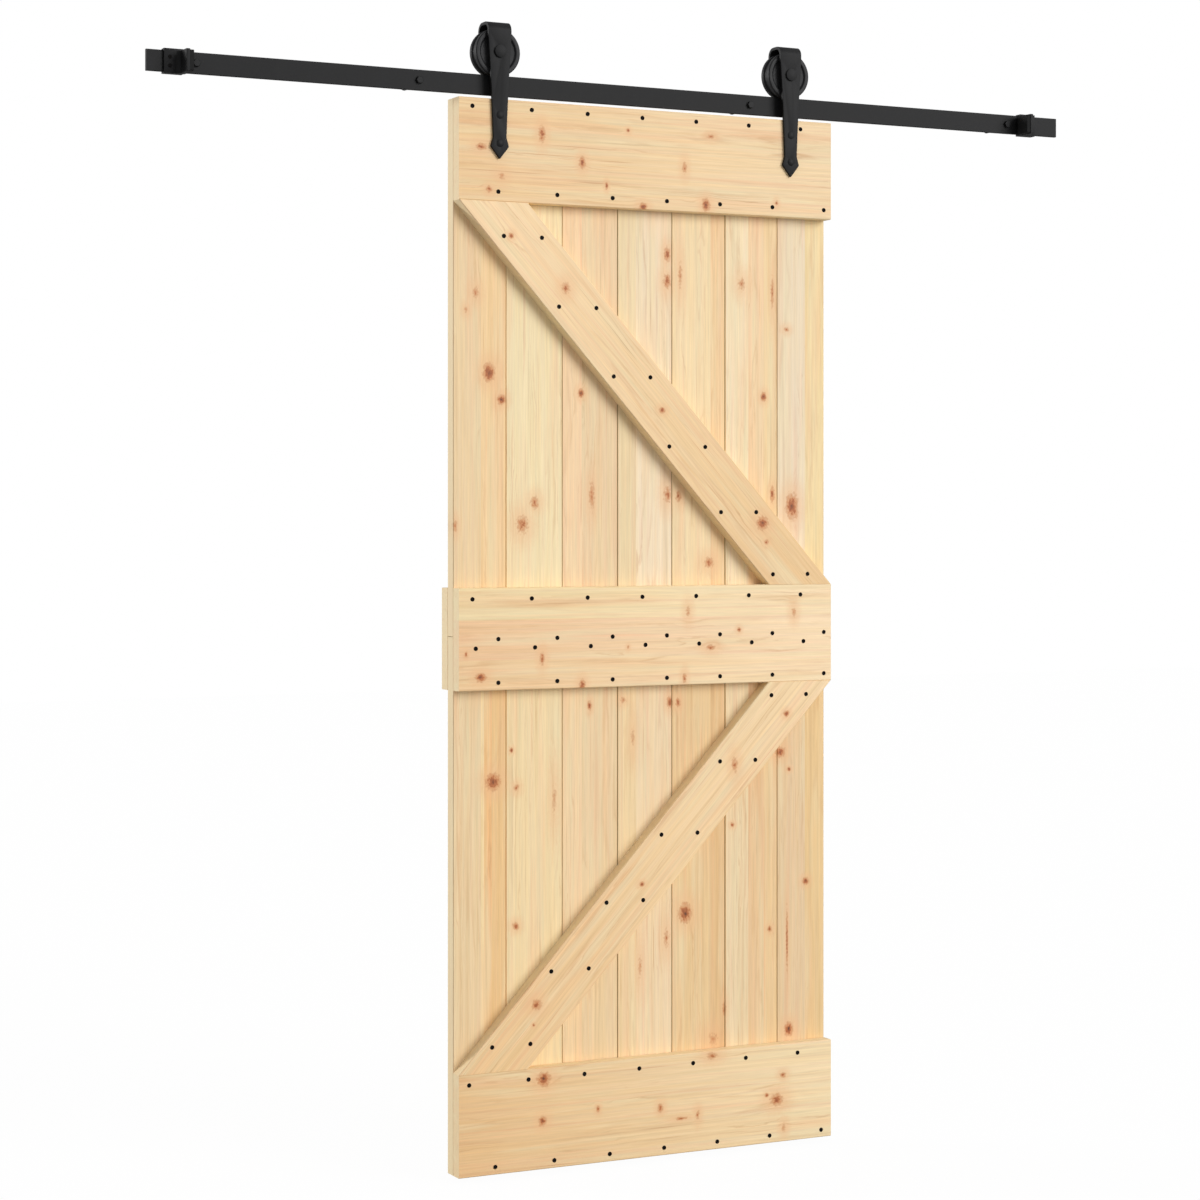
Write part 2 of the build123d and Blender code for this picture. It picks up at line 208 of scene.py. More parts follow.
def eased_copy(name, body, edge, material):
    """A CAD piece with its sharp edges rounded, to stand in its place."""
    mesh = bpy.data.meshes.new(f"{name}_eased")
    shape = bmesh.new()
    shape.from_mesh(nodes[name].data)
    bmesh.ops.remove_doubles(shape, verts=shape.verts, dist=joined_within)
    bmesh.ops.dissolve_limit(shape, angle_limit=flat_angle, verts=shape.verts, edges=shape.edges)
    shape.to_mesh(mesh)
    shape.free()
    mesh.materials.clear()
    mesh.materials.append(material)
    piece = bpy.data.objects.new(f"{name}_eased", mesh)
    bpy.context.scene.collection.objects.link(piece)
    rounding = piece.modifiers.new("rounded edges", "BEVEL")
    rounding.width = edge
    rounding.segments = 3
    rounding.limit_method = "ANGLE"
    rounding.angle_limit = rounded_angle
    evaluated = piece.evaluated_get(bpy.context.evaluated_depsgraph_get())
    rounded = bpy.data.meshes.new_from_object(evaluated)
    rounded.name = f"{name}_eased"
    piece.modifiers.clear()
    piece.data = rounded
    rounded.shade_smooth()
    rounded.set_sharp_from_angle(angle=crisp_angle)
    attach(piece, body)
    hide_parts(name)


for side in ("left", "right"):
    eased_copy(f"stopper_{side}", "wall_track", stopper_edge, powder_coat)

# Set screws: short screws with a hexagon socket, turned into the sleeves' front walls until they
# press on the bar. They are black phosphated, which is dull and almost without a reflection.
phosphate = black_coat("black phosphate on screws", "#0B0706", roughness=0.62, relief=0.10, shine=0.08)
set_screw_size = {"Head Radius": 3.6 * mm, "Standing Proud": 1.2 * mm, "Sunk": 0.6 * mm, "Rim": 0.4 * mm,
                  "Socket Radius": 1.7 * mm, "Socket Depth": 0.7 * mm, "Socket Sides": 6}
sleeve_share = 0.30
sleeve_depth = 16.3 * mm
screw_heights = (7.5 * mm, -9.0 * mm)
head_sides = 28
turn_seed = 5


def screw_heads(name, places, sizes, crossed, material, body):
    """One mesh of like screw heads that face the room, at these places on a board or a sleeve."""
    tree = bpy.data.node_groups.new(name, "GeometryNodeTree")
    tree.interface.new_socket("Geometry", in_out="INPUT", socket_type="NodeSocketGeometry")
    for label, size in sizes.items():
        kind = "NodeSocketInt" if isinstance(size, int) else "NodeSocketFloat"
        tree.interface.new_socket(label, in_out="INPUT", socket_type=kind)
    tree.interface.new_socket("Geometry", in_out="OUTPUT", socket_type="NodeSocketGeometry")
    given = add(tree, "NodeGroupInput").outputs
    rim_radius = add(tree, "ShaderNodeMath",
                     {0: given["Head Radius"], 1: given["Rim"]}, operation="SUBTRACT")
    barrel_top = add(tree, "ShaderNodeMath",
                     {0: given["Standing Proud"], 1: given["Rim"]}, operation="SUBTRACT")
    barrel_length = add(tree, "ShaderNodeMath", {0: barrel_top, 1: given["Sunk"]})
    below = add(tree, "ShaderNodeMath", {0: given["Sunk"], 1: -1.0}, operation="MULTIPLY")
    barrel = add(tree, "GeometryNodeMeshCylinder",
                 {"Vertices": head_sides, "Radius": given["Head Radius"], "Depth": barrel_length})
    barrel_middle = add(tree, "ShaderNodeMath",
                        {0: barrel_length, 1: 0.5, 2: below}, operation="MULTIPLY_ADD")
    barrel_place = add(tree, "ShaderNodeCombineXYZ", {2: barrel_middle})
    barrel = add(tree, "GeometryNodeTransform", {"Geometry": barrel, "Translation": barrel_place})
    crown = add(tree, "GeometryNodeMeshCone",
                {"Vertices": head_sides, "Radius Top": rim_radius,
                 "Radius Bottom": given["Head Radius"], "Depth": given["Rim"]})
    crown_place = add(tree, "ShaderNodeCombineXYZ", {2: barrel_top})
    crown = add(tree, "GeometryNodeTransform", {"Geometry": crown, "Translation": crown_place})
    head = add(tree, "GeometryNodeMeshBoolean", operation="UNION")
    tree.links.new(barrel.outputs[0], head.inputs["Mesh 2"])
    tree.links.new(crown.outputs[0], head.inputs["Mesh 2"])
    tool_length = add(tree, "ShaderNodeMath", {0: given["Socket Depth"], 1: 2.0}, operation="MULTIPLY")
    tool_place = add(tree, "ShaderNodeCombineXYZ", {2: given["Standing Proud"]})
    cut = add(tree, "GeometryNodeMeshBoolean", {"Mesh 1": head.outputs["Mesh"]}, operation="DIFFERENCE")
    if crossed:
        for turn in (0, 90):
            bar_size = add(tree, "ShaderNodeCombineXYZ",
                           {0: given["Slot Length"], 1: given["Slot Width"], 2: tool_length})
            bar = add(tree, "GeometryNodeMeshCube", {"Size": bar_size})
            bar = add(tree, "GeometryNodeTransform",
                      {"Geometry": bar, "Translation": tool_place, "Rotation": (0, 0, math.radians(turn))})
            tree.links.new(bar.outputs[0], cut.inputs["Mesh 2"])
    else:
        bar = add(tree, "GeometryNodeMeshCylinder",
                  {"Vertices": given["Socket Sides"], "Radius": given["Socket Radius"],
                   "Depth": tool_length})
        bar = add(tree, "GeometryNodeTransform", {"Geometry": bar, "Translation": tool_place})
        tree.links.new(bar.outputs[0], cut.inputs["Mesh 2"])
    number = add(tree, "GeometryNodeInputIndex")
    turns = add(tree, "FunctionNodeRandomValue",
                {"Min": (0, 0, 0), "Max": (0, 0, math.tau), "ID": number, "Seed": turn_seed},
                data_type="FLOAT_VECTOR")
    facing = add(tree, "FunctionNodeRotateEuler",
                 {"Rotation": turns, "Rotate By": (math.radians(90), 0, 0)},
                 rotation_type="EULER", space="OBJECT")
    heads = add(tree, "GeometryNodeInstanceOnPoints",
                {"Points": given["Geometry"], "Instance": cut.outputs["Mesh"], "Rotation": facing})
    real = add(tree, "GeometryNodeRealizeInstances", {"Geometry": heads})
    flat = add(tree, "GeometryNodeSetShadeSmooth", {"Geometry": real, "Shade Smooth": False})
    coated = add(tree, "GeometryNodeSetMaterial", {"Geometry": flat, "Material": material})
    add(tree, "NodeGroupOutput", {0: coated})

    points = bpy.data.meshes.new(name)
    points.from_pydata(places, [], [])
    piece = bpy.data.objects.new(name, points)
    modifier = piece.modifiers.new("heads", "NODES")
    modifier.node_group = tree
    for item in tree.interface.items_tree:
        if item.in_out == "INPUT" and item.name in sizes:
            modifier[item.identifier] = sizes[item.name]
    bpy.context.scene.collection.objects.link(piece)
    evaluated = piece.evaluated_get(bpy.context.evaluated_depsgraph_get())
    mesh = bpy.data.meshes.new_from_object(evaluated)
    piece.modifiers.clear()
    piece.data = mesh
    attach(piece, body)


stopper_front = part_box("stopper_left")[1].y - sleeve_depth
set_screw_places = []
for side, inward in (("left", 1), ("right", -1)):
    low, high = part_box(f"stopper_{side}")
    outer_end = low.x if inward > 0 else high.x
    across = outer_end + inward * sleeve_share * (high.x - low.x)
    set_screw_places += [(across, stopper_front, height) for height in screw_heights]
screw_heads("set_screws", set_screw_places, set_screw_size, False, phosphate, "wall_track")

# Bumpers: blocks of moulded black rubber bonded to the stoppers' flanges. The rubber is dull,
# with no reflections, and its edges are soft.
moulded_rubber = black_coat("moulded black rubber", "#121212", roughness=0.75, relief=0.5, shine=0.20)
finish_nodes(["bumper_left", "bumper_right"], moulded_rubber)

# Planks: sawn and planed pine, unfinished, glued up from strips of different logs, tongued and
# grooved, and stacked in two panels. Seen close, pale early wood and thin tan late wood follow
# the growth rings; from afar the strips differ in tone, from cream to straw and peach.
early_cast = "#FFFCF2"
plain_cast = "#FFFEFA"
rosy_cast = "#FDF2EB"
tan_cast = "#F3ECE2"
late_wood = "#C68F5A"
# The paler tone painted on the boards' sides and edges, as painted light on them.
painted_side_light_tone = "#FDEBC0"
pitch_wood = "#B9713E"
knot_heart = "#58290F"
knot_wood = "#944B20"
knot_rim = "#B26534"
knot_halo = "#CD8A55"
knot_edge = "#E8BC8C"
knot_glow = "#E8B686"
warm_wood = "#EDBE90"
straw_wood = "#E9D8AE"
knot_spread = 1.32
knot_fading = 1.25
painted_side_light_share = 0.5
pine_shine = 0.35
pine_bump = 0.35
pine_relief = 0.12 * mm


def new_group(name, inputs, outputs):
    """An empty shader group with these named sockets, and its two end nodes."""
    group = bpy.data.node_groups.new(name, "ShaderNodeTree")
    for label, kind in inputs.items():
        group.interface.new_socket(label, in_out="INPUT", socket_type=kind)
    for label, kind in outputs.items():
        group.interface.new_socket(label, in_out="OUTPUT", socket_type=kind)
    return group, add(group, "NodeGroupInput").outputs, add(group, "NodeGroupOutput").inputs


def set_ramp(ramp, stops):
    """Gives a colour ramp these (place, colour) stops."""
    elements = ramp.color_ramp.elements
    elements[0].position, elements[0].color = stops[0]
    elements[1].position, elements[1].color = stops[-1]
    for place, colour in stops[1:-1]:
        elements.new(place).color = colour


# The nearest knot: how far a place is from a knot's centre, counted in the knot's own sizes.
knot_group, given, result = new_group(
    "nearest knot",
    {"Place": "NodeSocketVector", "Centre": "NodeSocketVector", "Size": "NodeSocketVector",
     "Paleness": "NodeSocketFloat", "Nearest": "NodeSocketFloat"},
    {"Nearest": "NodeSocketFloat"})
away = add(knot_group, "ShaderNodeVectorMath", {0: given["Place"], 1: given["Centre"]}, operation="SUBTRACT")
scaled = add(knot_group, "ShaderNodeVectorMath", {0: away, 1: given["Size"]}, operation="DIVIDE")
length = add(knot_group, "ShaderNodeVectorMath", {0: scaled}, operation="LENGTH")
faded = add(knot_group, "ShaderNodeMath", {0: length.outputs["Value"], 1: given["Paleness"]})
nearest = add(knot_group, "ShaderNodeMath", {0: faded, 1: given["Nearest"]}, operation="MINIMUM")
knot_group.links.new(nearest.outputs[0], result["Nearest"])

# The wood itself. Grain is a place across, through and along the board, in millimetres.
wood, given, result = new_group(
    "pine wood",
    {"Grain": "NodeSocketVector", "Board": "NodeSocketFloat", "Tone": "NodeSocketColor",
     "Knot": "NodeSocketFloat", "Ring Width": "NodeSocketFloat", "Ring Strength": "NodeSocketFloat"},
    {"Colour": "NodeSocketColor", "Roughness": "NodeSocketFloat", "Relief": "NodeSocketFloat"})
chance = add(wood, "ShaderNodeTexWhiteNoise", {"W": given["Board"]}, noise_dimensions="1D").outputs["Color"]
own_part = add(wood, "ShaderNodeVectorMath", {0: chance, "Scale": 40.0}, operation="SCALE")
# Each noise is stretched along the board: its size across, through and along, in millimetres, and
# its detail. Real fibres are finer than the ones here, which are drawn coarser so that they show.
noise_sizes = {
    "sway": ((75, 75, 560), 2.0),
    "ripple": ((14, 14, 120), 4.0),
    "patches": ((26, 26, 240), 3.0),
    "warmth": ((30, 30, 420), 2.0),
    "pale": ((22, 22, 380), 2.0),
    "cast": ((10, 10, 520), 3.0),
    "streaks": ((4.2, 4.2, 300), 3.0),
    "flecks": ((2.4, 2.4, 48), 2.0),
    "pitch": ((3.0, 3.0, 210), 1.0),
    "fibres": ((1.1, 1.1, 60), 1.0),
    "crumble": ((4.2, 4.2, 6.0), 5.0),
}
noise = {}
for name, (size, detail) in noise_sizes.items():
    repeats = [1 / extent for extent in size]
    stretched = add(wood, "ShaderNodeVectorMath", {0: given["Grain"], 1: repeats}, operation="MULTIPLY")
    moved = add(wood, "ShaderNodeVectorMath", {0: stretched, 1: own_part})
    noise[name] = add(wood, "ShaderNodeTexNoise", {"Vector": moved, "Scale": 1.0, "Detail": detail})

# Growth rings: circles round a pith that lies behind the board, swaying along it and swerving
# round its knots. Some years are wide and some narrow.
pith_low, pith_high = (-75, 26, 0), (75, 100, 0)
sway_reach = 15.0
ripple_reach = 8.0
swerve_reach = 13.0
swerve_decay = 0.9
year_span = 22
year_drift = 5.0
flattened = add(wood, "ShaderNodeVectorMath", {0: given["Grain"], 1: (1, 1, 0)}, operation="MULTIPLY")
pith = add(wood, "ShaderNodeMapRange",
           {"Vector": chance, 9: pith_low, 10: pith_high}, data_type="FLOAT_VECTOR")
radius = add(wood, "ShaderNodeVectorMath",
             {0: flattened, 1: pith.outputs[1]}, operation="DISTANCE").outputs["Value"]
sway = add(wood, "ShaderNodeMapRange", {0: noise["sway"], 3: -sway_reach, 4: sway_reach})
ripple = add(wood, "ShaderNodeMapRange", {0: noise["ripple"], 3: -ripple_reach, 4: ripple_reach})
swerve_share = add(wood, "ShaderNodeMath", {0: given["Knot"], 1: -swerve_decay}, operation="MULTIPLY")
swerve_fall = add(wood, "ShaderNodeMath", {0: math.e, 1: swerve_share}, operation="POWER")
swerve = add(wood, "ShaderNodeMath", {0: swerve_fall, 1: swerve_reach, 2: radius}, operation="MULTIPLY_ADD")
swayed = add(wood, "ShaderNodeMath", {0: swerve, 1: sway})
ring_place = add(wood, "ShaderNodeMath", {0: swayed, 1: ripple})
year_place = add(wood, "ShaderNodeMath", {0: ring_place, 1: 1 / year_span}, operation="MULTIPLY")
years = add(wood, "ShaderNodeTexNoise", {"W": year_place, "Scale": 1.0}, noise_dimensions="1D")
rings = add(wood, "ShaderNodeMath", {0: ring_place, 1: given["Ring Width"]}, operation="DIVIDE")
uneven_rings = add(wood, "ShaderNodeMath", {0: years, 1: year_drift, 2: rings}, operation="MULTIPLY_ADD")
phase = add(wood, "ShaderNodeMath", {0: uneven_rings}, operation="FRACT")
late_share = add(wood, "ShaderNodeValToRGB", {0: phase})
late_share.color_ramp.interpolation = "EASE"
set_ramp(late_share, [(place, (share, share, share, 1)) for place, share in
                      ((0.0, 0.0), (0.50, 0.08), (0.84, 1.0), (0.93, 0.5), (1.0, 0.0))])
patches = add(wood, "ShaderNodeMapRange", {0: noise["patches"], 1: 0.46, 2: 0.74, 3: 0.10, 4: 1.35})
late_shown = add(wood, "ShaderNodeMath", {0: late_share, 1: patches}, operation="MULTIPLY")
late = add(wood, "ShaderNodeMath", {0: late_shown, 1: given["Ring Strength"]}, operation="MULTIPLY")

# Colour: casts over the board's own tone, then late wood, thin lines of pitch, fibres and knots.
casts = add(wood, "ShaderNodeValToRGB", {0: noise["cast"]})
set_ramp(casts, [(0.26, linear(tan_cast)), (0.42, linear(early_cast)),
                 (0.55, linear(plain_cast)), (0.70, linear(rosy_cast))])
cast_tone = add(wood, "ShaderNodeMix", {0: 1.0, 6: given["Tone"], 7: casts},
                data_type="RGBA", blend_type="MULTIPLY")
warm_share = add(wood, "ShaderNodeMapRange", {0: noise["warmth"], 1: 0.50, 2: 0.72, 3: 0.0, 4: 0.42})
warmed = add(wood, "ShaderNodeMix",
             {0: warm_share, 6: cast_tone.outputs[2], 7: linear(warm_wood)}, data_type="RGBA")
straw_share = add(wood, "ShaderNodeMapRange", {0: noise["pale"], 1: 0.50, 2: 0.72, 3: 0.0, 4: 0.55})
strawed = add(wood, "ShaderNodeMix",
              {0: straw_share, 6: warmed.outputs[2], 7: linear(straw_wood)}, data_type="RGBA")
lined = add(wood, "ShaderNodeMix", {0: late, 6: strawed.outputs[2], 7: linear(late_wood)}, data_type="RGBA")
pitch_share = add(wood, "ShaderNodeMapRange", {0: noise["pitch"], 1: 0.70, 2: 0.80, 3: 0.0, 4: 0.45})
pitchy = add(wood, "ShaderNodeMix",
             {0: pitch_share, 6: lined.outputs[2], 7: linear(pitch_wood)}, data_type="RGBA")
fibre_shade = add(wood, "ShaderNodeMapRange", {0: noise["fibres"], 3: 0.94, 4: 1.055})
streak_shade = add(wood, "ShaderNodeMapRange", {0: noise["streaks"], 3: 0.86, 4: 1.115})
fleck_shade = add(wood, "ShaderNodeMapRange", {0: noise["flecks"], 3: 0.93, 4: 1.07})
fine_shade = add(wood, "ShaderNodeMath", {0: fibre_shade, 1: fleck_shade}, operation="MULTIPLY")
shade = add(wood, "ShaderNodeMath", {0: fine_shade, 1: streak_shade}, operation="MULTIPLY")
fibred = add(wood, "ShaderNodeVectorMath", {0: pitchy.outputs[2], "Scale": shade}, operation="SCALE")
crumbled = add(wood, "ShaderNodeMapRange", {0: noise["crumble"], 3: -0.60, 4: 0.60})
rough_knot = add(wood, "ShaderNodeMath", {0: given["Knot"], 1: crumbled})
knot_place = add(wood, "ShaderNodeMath", {0: rough_knot, 1: 0.5}, operation="MULTIPLY")
knot_colour = add(wood, "ShaderNodeValToRGB", {0: knot_place})
set_ramp(knot_colour, [(0.0, linear(knot_heart)), (0.09, linear(knot_wood)), (0.25, linear(knot_rim)),
                       (0.36, linear(knot_halo)), (0.50, linear(knot_rim)), (0.60, linear(knot_halo)),
                       (1.0, linear(knot_edge))])
knot_cover = add(wood, "ShaderNodeMapRange", {0: rough_knot, 1: 0.45, 2: 1.30, 3: 0.95, 4: 0.0},
                 interpolation_type="SMOOTHSTEP")
halo_cover = add(wood, "ShaderNodeMapRange", {0: rough_knot, 1: 0.9, 2: 3.2, 3: 0.50, 4: 0.0},
                 interpolation_type="SMOOTHSTEP")
haloed = add(wood, "ShaderNodeMix", {0: halo_cover, 6: fibred, 7: linear(knot_glow)}, data_type="RGBA")
knotted = add(wood, "ShaderNodeMix", {0: knot_cover, 6: haloed.outputs[2], 7: knot_colour}, data_type="RGBA")
wood.links.new(knotted.outputs[2], result["Colour"])
gloss = add(wood, "ShaderNodeMapRange", {0: noise["fibres"], 3: 0.48, 4: 0.62})
wood.links.new(gloss.outputs[0], result["Roughness"])
relief = add(wood, "ShaderNodeMath",
             {0: noise["streaks"], 1: 1.6, 2: noise["fibres"]}, operation="MULTIPLY_ADD")
wood.links.new(relief.outputs[0], result["Relief"])

lower_board, upper_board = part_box("bottom_rail"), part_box("top_rail")
leaf_corner = lower_board[0]
leaf_width = (upper_board[1].x - leaf_corner.x) / mm
board_thickness = (upper_board[1].y - leaf_corner.y) / mm


def leaf_place(tree):
    """A place counted in millimetres from the leaf's lower left front corner."""
    place = add(tree, "ShaderNodeTexCoord").outputs["Object"]
    from_corner = add(tree, "ShaderNodeVectorMath", {0: place, 1: leaf_corner}, operation="SUBTRACT")
    return add(tree, "ShaderNodeVectorMath", {0: from_corner, "Scale": 1 / mm}, operation="SCALE")


def planed_pine(tree, place, grain, board, tone, knots, ring_width, ring_strength):
    """The surface of planed pine. Knots are (across the leaf, up, half width, half height,
    paleness), the lengths in millimetres, and they go right through the board."""
    right_through = 1e5
    distance = 9.0
    for x, z, half_width, half_height, knot_paleness in knots:
        size = (half_width * knot_spread, right_through, half_height * knot_spread)
        distance = add(tree, "ShaderNodeGroup",
                       {"Place": place, "Centre": (x, 0, z), "Size": size,
                        "Paleness": knot_fading * knot_paleness, "Nearest": distance}, node_tree=knot_group)
    made = add(tree, "ShaderNodeGroup",
               {"Grain": grain, "Board": board, "Tone": tone, "Knot": distance, "Ring Width": ring_width,
                "Ring Strength": ring_strength}, node_tree=wood).outputs
    bump = add(tree, "ShaderNodeBump",
               {"Height": made["Relief"], "Strength": pine_bump, "Distance": pine_relief})
    return made["Colour"], made["Roughness"], bump


def close_surface(tree, colour, roughness, bump):
    """Ends a wood material: sides and edges get painted light, a paler tone; the shine is weak and broad."""
    normal = add(tree, "ShaderNodeNewGeometry").outputs["True Normal"]
    facing = add(tree, "ShaderNodeSeparateXYZ", {0: normal})
    flatness = add(tree, "ShaderNodeMath", {0: facing.outputs[1]}, operation="ABSOLUTE")
    # Painted light: the less a face looks to the front or back, the more of the paler tone it takes.
    sawn = add(tree, "ShaderNodeMapRange", {0: flatness, 1: 0.1, 2: 0.6, 3: painted_side_light_share, 4: 0.0})
    pale = add(tree, "ShaderNodeMix", {0: sawn, 6: colour, 7: linear(painted_side_light_tone)}, data_type="RGBA")
    surface = add(tree, "ShaderNodeBsdfPrincipled",
                  {"Base Color": pale.outputs[2], "Roughness": roughness, "Normal": bump,
                   "Specular IOR Level": pine_shine})
    add(tree, "ShaderNodeOutputMaterial", {"Surface": surface})


edge_plank = (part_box("upper_plank_2")[0].x - leaf_corner.x) / mm
plank_cover = (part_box("upper_plank_3")[0].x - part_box("upper_plank_2")[0].x) / mm
# Strips of the two panels, each as its left edge on the leaf in millimetres and its tone, then the
# depths of the shade painted into the seams, from left to right.
upper_strips = [
    (0, "#EACFA6"), (59, "#F1D0A0"), (edge_plank, "#F2DFB6"), (235.5, "#F4D4AC"), (277, "#EACFA8"),
    (358.5, "#EBD6AE"), (400, "#F2DEC0"), (481.5, "#F3DAB0"), (570, "#F2D1A2"), (604.5, "#F4E0BD"),
    (657, "#F2D1A8"), (694, "#F0D3A5"), (727.5, "#EDDABE"), (791, "#F2DAA9"),
]
lower_strips = [
    (0, "#E8CDA4"), (59, "#F2D7A6"), (63, "#EFBE84"), (81, "#EAC48F"), (edge_plank, "#F0D8AC"),
    (235.5, "#F1D3A9"), (277, "#EACFA6"), (358.5, "#EED4A9"), (400, "#EFD6B1"), (481.5, "#E8C99A"),
    (570, "#E3BE8D"), (604.5, "#EBD5B0"), (657, "#E8C599"), (694, "#EAC99A"), (727.5, "#E6C9A2"),
    (791, "#EACA98"),
]
painted_seam_depths = (0.22, 0.50, 1.0, 0.70, 0.90, 0.55)
seam_half_width = 1.7
seam_core = 0.3
seam_strength = 0.85
painted_seam_shade = "#8D7447"
plank_ring_width = 5.0
plank_ring_strength = 0.27
upper_knots = [
    (48, 1722, 9, 14, 0.45), (27, 1689, 6, 9, 0.5), (76, 1567, 10, 14, 0), (103, 1514, 7, 8, 0),
    (277, 1530, 5, 7, 0), (175, 1312, 9, 12, 0.25), (148, 1269, 14, 18, 0.3), (301, 1326, 7, 30, 0.35),
    (471, 1815, 6, 12, 0.1), (471, 1761, 9, 16, 0.3), (501, 1774, 6, 34, 0.45), (644, 1761, 11, 17, 0.45),
    (716, 1747, 4, 34, 0.3), (750, 1671, 7, 6, 0.4), (695, 1531, 5, 7, 0), (472, 1329, 10, 20, 0.35),
    (497, 1326, 7, 13, 0.3), (567, 1191, 11, 12, 0.3), (716, 1330, 5, 14, 0.15), (763, 1305, 11, 20, 0),
    (4, 1266, 5, 12, 0.3),
]
lower_knots = [
    (85, 764, 12, 13, 0), (135, 750, 7, 8, 0.35), (125, 824, 3, 4, 0), (296, 907, 4, 8, 0.1),
    (371, 916, 9, 8, 0.45), (218, 724, 8, 48, 0.6), (393, 842, 7, 34, 0.6), (477, 909, 6, 10, 0.1),
    (496, 907, 5, 8, 0.15), (735, 798, 10, 10, 0.1), (756, 762, 4, 4, 0.1), (622, 653, 4, 4, 0.1),
    (134, 478, 7, 7, 0.15), (512, 479, 11, 16, 0), (469, 432, 9, 26, 0.5), (796, 528, 6, 6, 0),
    (710, 434, 5, 6, 0.2), (755, 224, 8, 11, 0), (603, 279, 5, 16, 0.35), (577, 219, 17, 20, 0.55),
    (751, 410, 2.5, 60, 0.2), (409, 377, 8, 40, 0.6),
]
for panel, panel_strips, knots, first_board in (("upper", upper_strips, upper_knots, 1.7),
                                                ("lower", lower_strips, lower_knots, 5.2)):
    plank_pine = bpy.data.materials.new(f"planed pine planks, {panel} panel")
    plank_pine.use_nodes = True
    tree = plank_pine.node_tree
    tree.nodes.clear()
    place = leaf_place(tree)
    split = add(tree, "ShaderNodeSeparateXYZ", {0: place}).outputs
    strip_place = add(tree, "ShaderNodeMath", {0: split[0], 1: leaf_width}, operation="DIVIDE")
    strips = add(tree, "ShaderNodeValToRGB", {0: strip_place})
    strips.color_ramp.interpolation = "CONSTANT"
    set_ramp(strips, [(start / leaf_width, linear(tone)) for start, tone in panel_strips])
    tint = add(tree, "ShaderNodeSeparateColor", {0: strips}).outputs
    strip_number = add(tree, "ShaderNodeMath", {0: tint[1], 1: 7.0, 2: tint[2]}, operation="MULTIPLY_ADD")
    board = add(tree, "ShaderNodeMath", {0: strip_number, 1: first_board})
    plank_place = add(tree, "ShaderNodeMapRange", {0: split[0], 1: edge_plank, 2: edge_plank + plank_cover},
                      clamp=False)
    share = add(tree, "ShaderNodeMath", {0: plank_place}, operation="FRACT")
    across = add(tree, "ShaderNodeMapRange", {0: share, 3: -plank_cover / 2, 4: plank_cover / 2})
    through = add(tree, "ShaderNodeMath", {0: split[1], 1: 1.5 * board_thickness}, operation="SUBTRACT")
    grain = add(tree, "ShaderNodeCombineXYZ", {0: across, 1: through, 2: split[2]})
    colour, roughness, bump = planed_pine(tree, place, grain, board, strips, knots,
                                          plank_ring_width, plank_ring_strength)
    # Painted shade: a dark line painted along the V groove of each seam, darker at some seams than others.
    seam_side = add(tree, "ShaderNodeMath", {0: across}, operation="ABSOLUTE")
    seam_near = add(tree, "ShaderNodeMapRange",
                    {0: seam_side, 1: plank_cover / 2 - seam_half_width, 2: plank_cover / 2 - seam_core,
                     3: 0.0, 4: seam_strength},
                    interpolation_type="SMOOTHSTEP")
    seam_place = add(tree, "ShaderNodeMapRange",
                     {0: plank_place, 1: -0.5, 2: len(painted_seam_depths) - 0.5, 3: 0.0, 4: 1.0})
    depths = add(tree, "ShaderNodeValToRGB", {0: seam_place})
    depths.color_ramp.interpolation = "CONSTANT"
    set_ramp(depths, [(number / len(painted_seam_depths), (depth, depth, depth, 1))
                      for number, depth in enumerate(painted_seam_depths)])
    seam_cover = add(tree, "ShaderNodeMath", {0: seam_near, 1: depths}, operation="MULTIPLY")
    shaded = add(tree, "ShaderNodeMix", {0: seam_cover, 6: colour, 7: linear(painted_seam_shade)}, data_type="RGBA")
    close_surface(tree, shaded.outputs[2], roughness, bump)
    finish_nodes([f"{panel}_plank_{number}" for number in range(1, 8)], plank_pine)

# Cross rails: pine boards 200 mm wide, planed and eased along their edges, screwed across the
# planks. The one at the back is clamped on by the screws of the middle rail. Their grain is
# wider and redder than the planks'. The front rails are painted darker at the left end and
# lighter towards the right: painted light, as the light comes from the right.
below_leaf = -10
board_ring_width = 10.0
board_ring_strength = 0.40
